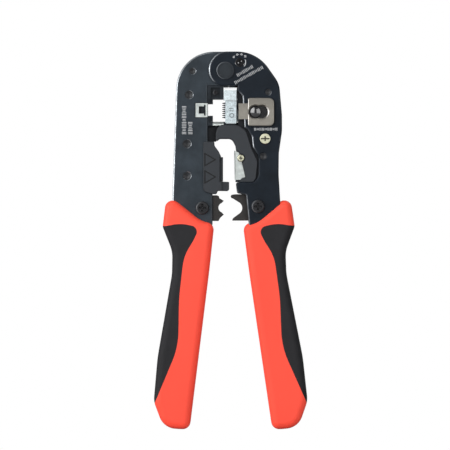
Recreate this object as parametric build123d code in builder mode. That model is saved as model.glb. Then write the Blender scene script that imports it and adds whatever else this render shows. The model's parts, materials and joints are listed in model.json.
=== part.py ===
from build123d import *
import os

# Crimping tool for modular plugs and small terminals, in millimetres.
# +Z runs up the tool, handles down. The front faces -Y. The handles' ends stand on Z = 0.
# The left half of the tool is the fixed frame. The right half turns on the pivot to close.

# ---------------------------------------------------------------- driving dimensions

TOOL_HEIGHT = 190.1
PIVOT = (-2.3, 180.5)
PIVOT_R = 3.0
PIVOT_HEAD_R = 4.45
RUNNING_CLEARANCE = 0.05

# Half depths of the layers, counted from the middle plane of the tool.
CORE = 3.5
FIXED_FACE = 5.6
MOVING_BACK = 5.8
MOVING_FACE = 7.8
MOULDING_FACE = 7.0
GRIP_FACE = 8.8
RAM_FACE = 7.6

EDGE_ROUND = 0.8
GRIP_ROUND = 3.6

# Plug opening, as low and high X and Z.
NEST_LEFT, NEST_RIGHT = -8.6, -0.8
NEST_LOW, NEST_HIGH = 154.8, 166.2
LATCH_LEFT = -11.1
LATCH_LOW, LATCH_HIGH = 157.8, 163.9
NEST_BLOCK_LOW, NEST_BLOCK_HIGH = 152.9, 173.0
PLATE_STEP = -11.2
NEST_SCREW = (-7.3, 169.5)
FLOOR_RIGHT = -3.2
TONGUE = 1.5
BACKING_RIGHT = -4.0
ARCH_CORE_LEFT = -0.8

# The guard's toe passes under the moving plates. Its marks are grooves.
TOE_FACE, TOE_LEFT = 5.6, -4.2
GROOVE = 0.5

# Ram and its punches.
RAM_LEFT, RAM_RIGHT = -2.4, 3.5
RAM_LOW, RAM_HIGH = 153.6, 172.0
RAM_STEP, RAM_TOP_LEFT = 165.4, -3.2
PUSH_FACE = 5.5
STEM_GAP = 0.15
RAM_MARK = (0.9, 157.9)
PUNCH_COUNT = 8
PUNCH_PITCH = 1.02
PUNCH_REACH = 1.5
PUNCH_MID = 160.65
KEEPER_SCREWS = [(0.25, 158.0), (0.25, 163.0)]

# Clip pusher, its window and button.
PUSHER_LEFT, PUSHER_RIGHT = 9.1, 22.3
PUSHER_LOW, PUSHER_HIGH = 152.5, 166.7
PUSHER_BACK, PUSHER_FACE = 7.9, 10.2
PUSHER_TRAVEL = 3.1
BUTTON = (12.8, 159.6)
BUTTON_R = 2.7
BUTTON_BACK, BUTTON_FACE = 5.6, 9.6
WINDOW_R = 3.2
STUD_X = 20.4
STUD_Z = (155.4, 163.9)
STUD_R = 1.0
STUD_HEAD_R = 1.7

SPRING_R, SPRING_WIRE_R = 4.3, 0.4
LOCK = (4.95, 184.6)
LOCK_R = 2.05
LOCK_HEAD_R = 2.25
ADJUSTER = (17.7, 146.2)
ADJUSTER_R = 2.65
ADJUSTER_SHANK_R = 1.5
BLADE_SCREW = (5.45, 136.5)
BLADE_BACK, BLADE_FACE = 4.6, 5.4

# Each rivet as its place and its radius.
FIXED_RIVETS = [
    ((-18.9, 180.3), 1.5),
    ((-20.7, 168.4), 2.0),
    ((-21.7, 143.7), 2.0),
    ((-21.7, 127.5), 2.0),
]
MOVING_RIVETS = [((19.2, 169.7), 1.5), ((16.7, 137.4), 1.75)]
RIVET_DIP = 0.35
RIVET_FIT = 0.02
FIXED_JAW_SCREW = (-13.9, 111.4)
MOVING_JAW_SCREW = (14.1, 112.1)
JAW_SCREW_R = 1.9
JAW_SCREW_HEAD_R = 3.3
JAW_SCREW_HEAD = 1.6
NUT_R = 4.0
NUT_HEIGHT = 2.0

# The right grip is the left one mirrored about this X, then tilted open about its mouth.
GRIP_MIRROR_X = -0.65
GRIP_TILT = 1.3
GRIP_TILT_POINT = (24.0, 103.0)


def depth(y):
    """A sketch plane parallel to the plates, Y deep, that faces the front."""
    return Plane.XZ.offset(-y)


def slab(shape, back, front):
    """A sketch made solid from depth back to depth front, front being the lower Y."""
    with BuildPart() as piece:
        with BuildSketch(depth(back)):
            add(shape)
        extrude(amount=back - front)
    return piece.part


def discs(centres, radius):
    """Round holes or pins of one radius at several places."""
    with BuildSketch() as sketch:
        with Locations(*centres):
            Circle(radius)
    return sketch.sketch


def box_sketch(left, right, low, high):
    with BuildSketch() as sketch:
        with Locations(((left + right) / 2, (low + high) / 2)):
            Rectangle(right - left, high - low)
    return sketch.sketch


# ---------------------------------------------------------------- outlines in X and Z


def rounded(corners):
    """A closed sketch from (X, Z, corner radius) triples."""
    with BuildSketch() as sketch:
        with BuildLine():
            places = [(x, z) for x, z, _ in corners]
            radii = [radius for _, _, radius in corners]
            FilletPolyline(*places, radius=radii, close=True)
        make_face()
    return sketch.sketch


FIXED_FRAME = rounded(
    [
        (-3.0, TOOL_HEIGHT, 0),
        (-26.4, TOOL_HEIGHT, 19),
        (-29.3, 108.0, 3),
        (-25.2, 92.0, 6),
        (-24.8, 80.0, 12),
        (-31.5, 28.0, 2),
        (-22.5, 28.0, 2),
        (-8.8, 103.3, 1.0),
        (-8.8, 144.9, 1.0),
        (PLATE_STEP, 144.9, 0.3),
        (PLATE_STEP, NEST_BLOCK_HIGH, 0),
        (-0.7, NEST_BLOCK_HIGH, 0),
        (-0.7, 172.3, 0),
        (3.7, 172.3, 1.5),
        (3.7, 186.5, 5.9),
        (-3.0, 186.5, 0),
    ]
)

MOVING_FRAME = rounded(
    [
        (13.5, TOOL_HEIGHT, 19.0),
        (-10.7, TOOL_HEIGHT, 9.0),
        (-10.7, 172.9, 7.6),
        (3.9, 172.9, 0),
        (3.9, 170.6, 0),
        (6.3, 167.6, 0),
        (7.3, 151.8, 0),
        (8.9, 151.0, 0.8),
        (11.0, 147.2, 2),
        (11.5, 142.0, 2),
        (14.4, 137.6, 3),
        (14.4, 127.0, 5),
        (12.0, 124.4, 1.5),
        (2.9, 124.3, 1.0),
        (3.6, 118.9, 1.0),
        (8.1, 118.0, 0.8),
        (9.5, 103.3, 1.0),
        (22.5, 28.0, 2),
        (31.3, 28.0, 2),
        (23.6, 80.0, 12),
        (23.8, 92.0, 6),
        (25.7, 108.0, 3),
        (24.5, 128.0, 40),
        (24.6, 139.0, 15),
        (26.2, 150.0, 15),
        (26.2, 158.0, 30),
        (24.8, 174.0, 12),
    ]
)

LINER = rounded(
    [
        (3.65, 171.4, 0.5),
        (9.2, 171.4, 1),
        (9.2, 178.0, 1),
        (21.0, 177.2, 3),
        (24.0, 168.0, 4),
        (24.9, 155.0, 4),
        (23.2, 139.0, 4),
        (23.2, 127.0, 4),
        (24.2, 108.0, 3),
        (22.2, 92.0, 3),
        (22.2, 80.0, 3),
        (26.8, 52.0, 1),
        (21.0, 52.0, 1),
        (11.0, 103.0, 1),
        (9.4, 119.0, 1),
        (6.4, 119.8, 0.5),
        (6.0, 124.2, 0.5),
        (9.8, 124.6, 1),
        (11.8, 128.0, 1),
        (11.6, 137.0, 2),
        (9.6, 141.5, 2),
        (8.4, 146.8, 2),
        (5.6, 148.4, 0.5),
        (4.1, 149.6, 0.5),
        (4.1, 160.0, 0),
        (3.65, 161.5, 0),
    ]
)

GUARD = rounded(
    [
        (-13.4, 144.8, 1.2),
        (-13.4, 119.6, 2.2),
        (-8.8, 118.4, 0.9),
        (-6.9, 118.4, 0.4),
        (-6.1, 120.0, 0.4),
        (-0.4, 119.9, 1.2),
        (-0.4, 124.5, 0.4),
        (-5.05, 124.7, 0),
        (-5.05, 137.0, 0),
        (-4.4, 137.2, 0.3),
        (-5.7, 139.9, 1.5),
        (-7.7, 142.6, 1.5),
        (-7.9, 144.8, 0.4),
    ]
)

HOLDER = rounded(
    [
        (8.6, 123.3, 1.0),
        (12.9, 124.4, 4.0),
        (14.0, 134.8, 5.0),
        (11.0, 141.1, 2.0),
        (8.1, 150.2, 4.0),
        (4.0, 153.3, 6.0),
        (-5.6, 153.2, 3.0),
        (-7.1, 149.2, 1.0),
        (-7.1, 144.6, 0.6),
        (-5.2, 146.3, 1.5),
        (0.9, 146.3, 3.0),
        (2.7, 142.9, 1.0),
        (3.2, 139.5, 0),
        (2.9, 125.9, 0.3),
        (2.7, 124.5, 0.3),
        (4.6, 124.5, 0.5),
    ]
)


# Convex corners are rounder than the rims of the solid, so that the rims can be filleted.
GRIP = rounded(
    [
        (-31.9, 118.5, 3.9),
        (-33.9, 101.9, 3.9),
        (-29.0, 89.5, 16),
        (-29.2, 78.0, 30),
        (-36.5, 36.0, 80),
        (-38.4, 14.0, 11),
        (-33.4, 0.6, 9),
        (-25.0, 0.0, 20),
        (-20.3, 0.0, 3.9),
        (-10.4, 80.0, 60),
        (-7.9, 103.2, 3.9),
        (-15.0, 105.2, 14),
        (-25.0, 113.2, 10),
    ]
)


# The soft inlay takes everything of the grip to the left of this outline's right side.
INLAY = rounded(
    [
        (-44.0, 102.3, 0),
        (-32.0, 102.3, 20),
        (-25.0, 103.7, 20),
        (-15.2, 101.6, 3.2),
        (-18.6, 94.6, 8),
        (-23.2, 87.0, 22),
        (-25.6, 66.0, 90),
        (-26.0, 41.5, 40),
        (-39.6, 9.0, 0),
        (-44.0, 9.0, 0),
    ]
)


def outline(draw_lines):
    """A closed sketch in X and Z from a function that draws its lines."""
    with BuildSketch() as sketch:
        with BuildLine():
            draw_lines()
        make_face()
    return sketch.sketch


def fixed_jaw_lines():
    Polyline((-11.8, 104.8), (-18.0, 109.8), (-18.0, 117.8), (-6.6, 117.8), (-5.6, 117.4))
    Polyline((-5.6, 117.4), (-5.3, 116.3), (-3.1, 115.0), (-4.2, 113.9))
    ThreePointArc((-4.2, 113.9), (-5.8, 111.6), (-4.2, 109.2))
    Polyline((-4.2, 109.2), (-3.1, 108.1), (-4.9, 106.4), (-5.8, 104.8), (-11.8, 104.8))


def moving_jaw_lines():
    Polyline((11.0, 105.0), (1.2, 105.0), (1.3, 105.9), (2.0, 106.6), (5.0, 108.8))
    ThreePointArc((5.0, 108.8), (6.2, 111.4), (5.0, 114.0))
    Line((5.0, 114.0), (1.3, 116.3))
    ThreePointArc((1.3, 116.3), (0.4, 117.3), (1.2, 118.1))
    Polyline((1.2, 118.1), (2.6, 118.3), (18.5, 118.3), (18.5, 111.0), (11.0, 105.0))


FIXED_JAW = outline(fixed_jaw_lines)
MOVING_JAW = outline(moving_jaw_lines)

pieces = {}


def keep(name, part):
    part.label = name
    pieces[name] = part


def rivet_holes(rivets):
    with BuildSketch() as sketch:
        for centre, radius in rivets:
            with Locations(centre):
                Circle(radius + RIVET_FIT)
    return sketch.sketch


def rivets(places, half_depth):
    """Rivets through the frame, each dished end a little below the plate's face."""
    with BuildPart() as group:
        end_face = half_depth - RIVET_DIP
        for (x, z), radius in places:
            with BuildSketch(depth(end_face)):
                with Locations((x, z)):
                    Circle(radius)
            extrude(amount=2 * end_face)
            for end in (-1, 1):
                with Locations((x, end * (end_face + 2.2 * radius), z)):
                    Sphere(2.35 * radius, mode=Mode.SUBTRACT)
    return group.part


def pivot_hole():
    return discs([PIVOT], PIVOT_R + RUNNING_CLEARANCE)


def jaw_screw_hole(place):
    return discs([place], JAW_SCREW_R + RUNNING_CLEARANCE)


def plate(shape, back, front, holes, rivet_places, outer_face):
    """A side plate: its outer rim is rounded and its rivet holes are chamfered."""
    with BuildPart() as piece:
        with BuildSketch(depth(back)):
            add(shape)
        extrude(amount=back - front)
        face = piece.faces().sort_by(Axis.Y)[outer_face]
        fillet(face.outer_wire().edges(), EDGE_ROUND)
        with BuildSketch(depth(back)):
            add(holes)
            add(rivet_holes(rivet_places))
        extrude(amount=back - front, mode=Mode.SUBTRACT)
        outer_y = front if outer_face == 0 else back
        circles = piece.edges().filter_by(GeomType.CIRCLE)
        rims = circles.filter_by_position(Axis.Y, outer_y - 0.01, outer_y + 0.01)
        rivet_radii = [radius + RIVET_FIT for _, radius in rivet_places]
        chamfer([e for e in rims if any(abs(e.radius - r) < 0.001 for r in rivet_radii)], 0.3)
    return piece.part


# ---------------------------------------------------------------- fixed frame


def fixed_plates():
    holes = pivot_hole() + jaw_screw_hole(FIXED_JAW_SCREW)
    clip_bay = box_sketch(-17.7, PLATE_STEP + 0.1, 156.8, 164.4)
    front = plate(FIXED_FRAME, -CORE, -FIXED_FACE, holes + clip_bay, FIXED_RIVETS, 0)
    rear = plate(FIXED_FRAME, FIXED_FACE, CORE, holes, FIXED_RIVETS, -1)
    keep("fixed_plate_front", front)
    keep("fixed_plate_rear", rear)


def fixed_spacer():
    """The core between the fixed plates. It is hollow round the return spring."""
    with BuildPart() as spacer:
        with BuildSketch(depth(CORE)):
            add(offset(FIXED_FRAME, -1.0))
            add(box_sketch(-40, 0, 110, 200), mode=Mode.INTERSECT)
            add(box_sketch(-40, 0, 100, 119.5), mode=Mode.SUBTRACT)
            add(box_sketch(-14.5, BACKING_RIGHT, 146.8, NEST_BLOCK_LOW - 1.2))
            add(box_sketch(-14.5, -6.9, 144.9, 146.8))
            add(box_sketch(-14.5, 5, NEST_BLOCK_LOW, NEST_BLOCK_HIGH), mode=Mode.SUBTRACT)
            add(box_sketch(-6.0, 5, NEST_BLOCK_HIGH - 1, 200), mode=Mode.SUBTRACT)
            add(discs([PIVOT], 6.4), mode=Mode.SUBTRACT)
            add(box_sketch(-13.0, -2.3, 183.2, 185.6), mode=Mode.SUBTRACT)
            add(rivet_holes(FIXED_RIVETS), mode=Mode.SUBTRACT)
        extrude(amount=2 * CORE)
    keep("fixed_spacer", spacer.part)


def connector_nest():
    """The block round the plug opening. Its arms reach right and guide the ram's stem."""
    opening = box_sketch(NEST_LEFT, NEST_RIGHT + 1, NEST_LOW, NEST_HIGH)
    latch_way = box_sketch(LATCH_LEFT, NEST_LEFT + 1, LATCH_LOW, LATCH_HIGH)
    with BuildPart() as nest:
        with BuildSketch(depth(FIXED_FACE)):
            add(box_sketch(PLATE_STEP, NEST_RIGHT, NEST_BLOCK_LOW, NEST_BLOCK_HIGH))
        extrude(amount=2 * FIXED_FACE)
        with BuildSketch(depth(CORE)):
            add(box_sketch(-14.5, PLATE_STEP, NEST_BLOCK_LOW, NEST_BLOCK_HIGH))
        extrude(amount=2 * CORE)
        with BuildSketch(depth(FIXED_FACE)):
            add(opening)
            add(latch_way)
        extrude(amount=2 * FIXED_FACE, mode=Mode.SUBTRACT)
        with BuildSketch(depth(FIXED_FACE)):
            add(box_sketch(NEST_LEFT, FLOOR_RIGHT, NEST_BLOCK_LOW, NEST_LOW))
        extrude(amount=2 * FIXED_FACE, mode=Mode.SUBTRACT)
        with BuildSketch(depth(TONGUE)):
            add(box_sketch(-12.0, NEST_RIGHT, NEST_BLOCK_LOW - 1.2, NEST_BLOCK_LOW))
        extrude(amount=2 * TONGUE)
        for y in (-FIXED_FACE, FIXED_FACE - 1.6):
            with BuildSketch(depth(y + 1.6)):
                add(box_sketch(-9.6, -5.0, 167.0, 172.0))
            extrude(amount=1.6, mode=Mode.SUBTRACT)
        for step in range(3):
            with BuildSketch(depth(-FIXED_FACE + 1.0)):
                add(box_sketch(-10.7 + 0.7 * step, -10.4 + 0.7 * step, 164.5, 166.6))
                add(box_sketch(-10.7 + 0.7 * step, -10.4 + 0.7 * step, 154.4, 157.3))
            extrude(amount=1.0, mode=Mode.SUBTRACT)
        with BuildSketch(depth(FIXED_FACE)):
            add(discs([NEST_SCREW], 0.85))
        extrude(amount=2 * FIXED_FACE, mode=Mode.SUBTRACT)
    keep("connector_nest", nest.part)

    with BuildPart() as floor:
        with BuildSketch(depth(FIXED_FACE)):
            add(box_sketch(NEST_LEFT, FLOOR_RIGHT, NEST_BLOCK_LOW, NEST_LOW))
        extrude(amount=2 * FIXED_FACE)
        chamfer(floor.faces().sort_by(Axis.Z)[-1].edges().filter_by(Axis.X), 1.1)
    keep("nest_floor", floor.part)

    with BuildPart() as clip:
        with BuildSketch(depth(-CORE - 0.5)):
            add(box_sketch(-17.3, -11.3, 157.1, 164.1))
            add(box_sketch(-15.7, -13.1, 158.9, 162.6), mode=Mode.SUBTRACT)
            add(box_sketch(-13.1, -12.3, 157.9, 163.3), mode=Mode.SUBTRACT)
        extrude(amount=1.1)
        with BuildSketch(depth(-CORE - 1.6)):
            add(box_sketch(-17.3, -11.3, 163.3, 164.1))
            add(box_sketch(-17.3, -11.3, 157.1, 157.9))
            add(box_sketch(-17.3, -16.2, 157.1, 164.1))
        extrude(amount=0.6)
        with BuildSketch(depth(-CORE)):
            add(box_sketch(-17.3, -16.3, 157.1, 164.1))
        extrude(amount=0.5)
    keep("nest_clip", clip.part)


def cross_head_screw(place, seat, head_r, head_h, shank_r, shank_length):
    """A pan-head screw that faces the front, its head standing out from depth seat."""
    arm = head_r * 1.15
    with BuildPart() as screw:
        with BuildSketch(depth(seat)):
            with Locations(place):
                Circle(head_r)
        extrude(amount=head_h)
        fillet(screw.faces().sort_by(Axis.Y)[0].edges(), head_h * 0.5)
        with BuildSketch(depth(seat - head_h)):
            with Locations(place):
                Rectangle(arm, head_r * 0.26)
                Rectangle(head_r * 0.26, arm)
                Rectangle(head_r * 0.5, head_r * 0.5, rotation=45)
        extrude(amount=-head_h * 0.65, taper=12, mode=Mode.SUBTRACT)
        with BuildSketch(depth(seat + shank_length)):
            with Locations(place):
                Circle(shank_r)
        extrude(amount=shank_length)
    return screw.part


def jaw_screw(place, half_depth):
    """A screw right through plates half_depth from the middle plane, and through its nut."""
    length = 2 * half_depth + NUT_HEIGHT
    return cross_head_screw(place, -half_depth, JAW_SCREW_HEAD_R, JAW_SCREW_HEAD, JAW_SCREW_R, length)


def hex_nut(place, seat, bore_r):
    """A hexagonal nut at the back, its seat at depth seat."""
    with BuildPart() as nut:
        with BuildSketch(depth(seat + NUT_HEIGHT)):
            with Locations(place):
                RegularPolygon(NUT_R, 6)
        extrude(amount=NUT_HEIGHT)
        with BuildSketch(depth(seat + NUT_HEIGHT)):
            with Locations(place):
                Circle(bore_r + RUNNING_CLEARANCE)
        extrude(amount=NUT_HEIGHT, mode=Mode.SUBTRACT)
        rims = nut.faces().sort_by(Axis.Y)[-1].outer_wire().edges()
        chamfer(rims, 0.35)
    return nut.part


def nest_screws():
    front = cross_head_screw(NEST_SCREW, -FIXED_FACE + 1.6, 1.35, 0.9, 0.8, 2.4)
    with BuildPart() as pair:
        add(front)
        mirror(front, about=Plane.XZ)
    keep("nest_screws", pair.part)


def strip_guard():
    """A channel of moulded plastic clipped over the right edge of the fixed plates."""
    triangles = [
        ((-12.9, 139.3), (-6.8, 135.7), (-12.9, 132.1)),
        ((-12.9, 130.6), (-6.8, 127.0), (-12.9, 123.4)),
    ]
    with BuildPart() as guard:
        with BuildSketch(depth(MOULDING_FACE)):
            add(GUARD)
        extrude(amount=2 * MOULDING_FACE)
        for end in (0, -1):
            fillet(guard.faces().sort_by(Axis.Y)[end].outer_wire().edges(), 0.35)
        with BuildSketch(depth(FIXED_FACE)):
            add(box_sketch(-20, -8.8, 110, 150))
        extrude(amount=2 * FIXED_FACE, mode=Mode.SUBTRACT)
        with BuildSketch(depth(-TOE_FACE)):
            add(box_sketch(TOE_LEFT, 0, 119, 126))
        extrude(amount=MOULDING_FACE, mode=Mode.SUBTRACT)
        with BuildSketch(depth(TOE_FACE)):
            add(box_sketch(TOE_LEFT, 0, 119, 126))
        extrude(amount=-MOULDING_FACE, mode=Mode.SUBTRACT)
        for corners in triangles:
            with BuildSketch(depth(-MOULDING_FACE + GROOVE)):
                with BuildLine():
                    Polyline(*corners, close=True)
                make_face()
                add(offset(amount=-0.6, mode=Mode.PRIVATE), mode=Mode.SUBTRACT)
            extrude(amount=GROOVE, mode=Mode.SUBTRACT)
    keep("strip_guard", guard.part)

    with BuildPart() as strip:
        with BuildSketch(depth(4.6)):
            add(box_sketch(-5.05, -3.5, 124.8, 137.0))
        extrude(amount=9.2)
        chamfer(strip.edges().filter_by(Axis.Z).group_by(Axis.X)[-1], 0.5)
    keep("anvil_strip", strip.part)


def fixed_jaw():
    with BuildPart() as jaw:
        with BuildSketch(depth(CORE)):
            add(FIXED_JAW)
            add(jaw_screw_hole(FIXED_JAW_SCREW), mode=Mode.SUBTRACT)
        extrude(amount=2 * CORE)
    keep("fixed_jaw", jaw.part)
    keep("fixed_jaw_screw", jaw_screw(FIXED_JAW_SCREW, FIXED_FACE))
    keep("fixed_jaw_nut", hex_nut(FIXED_JAW_SCREW, FIXED_FACE, JAW_SCREW_R))


def pivot():
    with BuildPart() as pin:
        with BuildSketch(depth(MOVING_FACE + 1.6)):
            with Locations(PIVOT):
                Circle(PIVOT_R)
        extrude(amount=2 * MOVING_FACE + 1.7)
        with BuildSketch(depth(-MOVING_FACE - 0.05)):
            with Locations(PIVOT):
                Circle(PIVOT_HEAD_R)
        extrude(amount=0.85)
        fillet(pin.faces().sort_by(Axis.Y)[0].edges(), 0.4)
        with BuildSketch(depth(-MOVING_FACE - 0.9)):
            with Locations(PIVOT):
                Circle(3.5)
                Circle(3.2, mode=Mode.SUBTRACT)
        extrude(amount=-0.2, mode=Mode.SUBTRACT)
        chamfer(pin.faces().sort_by(Axis.Y)[-1].edges(), 0.4)
        with BuildSketch(depth(MOVING_FACE + 1.1)):
            with Locations(PIVOT):
                Circle(PIVOT_R + 1)
                Circle(PIVOT_R - 0.6, mode=Mode.SUBTRACT)
        extrude(amount=0.8, mode=Mode.SUBTRACT)
    keep("pivot_pin", pin.part)

    with BuildPart() as retainer:
        with BuildSketch(depth(MOVING_FACE + 1.05)):
            with Locations(PIVOT):
                Circle(5.2)
                Circle(PIVOT_R - 0.55, mode=Mode.SUBTRACT)
                with Locations((0, -4.4)):
                    Rectangle(3.4, 5.0, mode=Mode.SUBTRACT)
        extrude(amount=0.7)
    keep("pivot_retainer", retainer.part)


def coil(centre, radius, start, pitch, turns):
    """The centre line of a coil about an axis along Y, from its top towards the back."""
    top = (centre[0], start, centre[1])
    return Helix(pitch, pitch * turns, radius, center=top, direction=(0, 1, 0))


def return_spring():
    """A torsion spring round the pivot pin, between the fixed spacer and the drive block."""
    with BuildPart() as spring:
        with BuildLine() as path:
            turns = coil(PIVOT, SPRING_R, -2.2, 1.1, 4.25)
            Line(turns @ 0 - (turns % 0) * 8.0, turns @ 0)
            Line(turns @ 1, turns @ 1 + (turns % 1) * 7.0)
        with BuildSketch(Plane(origin=path.line @ 0, z_dir=path.line % 0)):
            Circle(SPRING_WIRE_R)
        sweep(path=path.line)
    keep("return_spring", spring.part)


def grips():
    """Each grip body has slots for the plates' tangs, and a soft inlay on its outer side."""
    with BuildPart() as blank:
        with BuildSketch(depth(GRIP_FACE)):
            add(GRIP)
        extrude(amount=2 * GRIP_FACE)
        rims = blank.faces().sort_by(Axis.Y)[0].edges() + blank.faces().sort_by(Axis.Y)[-1].edges()
        fillet(rims, GRIP_ROUND)
    with BuildPart() as inlay_region:
        with BuildSketch(depth(GRIP_FACE + 1)):
            add(INLAY)
        extrude(amount=2 * GRIP_FACE + 2)

    tilt_axis = Axis((GRIP_TILT_POINT[0], 0, GRIP_TILT_POINT[1]), (0, 1, 0))
    mirror_plane = Plane.YZ.offset(GRIP_MIRROR_X)

    def as_drawn(solid):
        return solid

    def to_the_right(solid):
        return solid.mirror(mirror_plane).rotate(tilt_axis, -GRIP_TILT)

    fixed_layers = [(-FIXED_FACE, -CORE), (CORE, FIXED_FACE)]
    moving_layers = [(-MOVING_FACE, -MOVING_BACK), (MOVING_BACK, MOVING_FACE)]
    sides = {
        "fixed": (as_drawn, FIXED_FRAME, fixed_layers),
        "moving": (to_the_right, MOVING_FRAME, moving_layers),
    }
    for side, (place, frame, layers) in sides.items():
        tangs = [slab(frame, high, low) for low, high in layers]
        if side == "moving":
            tangs += [slab(LINER, -CORE, -MOVING_BACK), slab(LINER, MOVING_BACK, CORE)]
        with BuildPart() as body:
            add(place(blank.part))
            add(place(inlay_region.part), mode=Mode.SUBTRACT)
            for tang in tangs:
                add(tang, mode=Mode.SUBTRACT)
        with BuildPart() as inlay:
            add(place(blank.part))
            add(place(inlay_region.part), mode=Mode.INTERSECT)
            for tang in tangs:
                add(tang, mode=Mode.SUBTRACT)
        keep(side + "_grip", body.part)
        keep(side + "_grip_inlay", inlay.part)


# ---------------------------------------------------------------- moving frame


def moving_plates():
    holes = pivot_hole() + jaw_screw_hole(MOVING_JAW_SCREW) + adjuster_hole()
    holes += discs([LOCK], LOCK_HEAD_R + 0.1)
    slots = button_hole() + stud_slots(STUD_R + 0.12)
    front = plate(MOVING_FRAME, -MOVING_BACK, -MOVING_FACE, holes + slots, MOVING_RIVETS, 0)
    rear = plate(MOVING_FRAME, MOVING_FACE, MOVING_BACK, holes, MOVING_RIVETS, -1)
    keep("moving_plate_front", front)
    keep("moving_plate_rear", rear)


def adjuster_hole():
    return discs([ADJUSTER], ADJUSTER_SHANK_R + RUNNING_CLEARANCE)


def button_hole():
    return discs([BUTTON], BUTTON_R + 0.15)


def stud_slots(half_width):
    """Slots in which the clip pusher's studs travel."""
    with BuildSketch() as sketch:
        for z in STUD_Z:
            with Locations((STUD_X - PUSHER_TRAVEL / 2, z)):
                SlotCenterToCenter(PUSHER_TRAVEL, 2 * half_width)
    return sketch.sketch


def moving_liners():
    """Inner plates of the moving frame, between the outer plates and the core."""
    holes = jaw_screw_hole(MOVING_JAW_SCREW) + adjuster_hole()
    for name, back, front in (("front", -CORE, -MOVING_BACK), ("rear", MOVING_BACK, CORE)):
        with BuildPart() as liner:
            with BuildSketch(depth(back)):
                add(LINER)
                add(holes, mode=Mode.SUBTRACT)
                add(rivet_holes(MOVING_RIVETS), mode=Mode.SUBTRACT)
                if name == "front":
                    add(button_hole(), mode=Mode.SUBTRACT)
            extrude(amount=back - front)
            if name == "front":
                with BuildSketch(depth(front + 1.3)):
                    add(stud_slots(STUD_HEAD_R + 0.15))
                extrude(amount=1.3, mode=Mode.SUBTRACT)
        keep("moving_liner_" + name, liner.part)


def drive_block():
    """The core of the moving frame, with a round nose that pushes the ram."""
    with BuildPart() as block:
        with BuildSketch(depth(CORE)):
            with BuildLine():
                Polyline((9.2, 163.4), (9.2, 166.6), (1.8, 166.6), (1.8, 172.8), (9.2, 172.8))
                Polyline((9.2, 172.8), (9.2, 178.0), (20.4, 176.6), (23.4, 168.0), (24.2, 155.0))
                Polyline((24.2, 155.0), (23.2, 148.9), (10.2, 152.6), (2.4, 153.0), (2.4, 154.5))
                Polyline((2.4, 154.5), (9.2, 154.6), (9.2, 156.4))
                ThreePointArc((9.2, 156.4), (PUSH_FACE + 0.1, 159.9), (9.2, 163.4))
            make_face()
            add(rivet_holes(MOVING_RIVETS), mode=Mode.SUBTRACT)
        extrude(amount=2 * CORE)
        with BuildSketch(depth(-1.0)):
            add(discs([BUTTON], 1.9))
        extrude(amount=CORE - 1.0, mode=Mode.SUBTRACT)
    keep("drive_block", block.part)


def moving_jaw():
    with BuildPart() as jaw:
        with BuildSketch(depth(CORE)):
            add(MOVING_JAW)
            add(jaw_screw_hole(MOVING_JAW_SCREW), mode=Mode.SUBTRACT)
        extrude(amount=2 * CORE)
    keep("moving_jaw", jaw.part)
    keep("moving_jaw_screw", jaw_screw(MOVING_JAW_SCREW, MOVING_FACE))
    keep("moving_jaw_nut", hex_nut(MOVING_JAW_SCREW, MOVING_FACE, JAW_SCREW_R))


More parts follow.
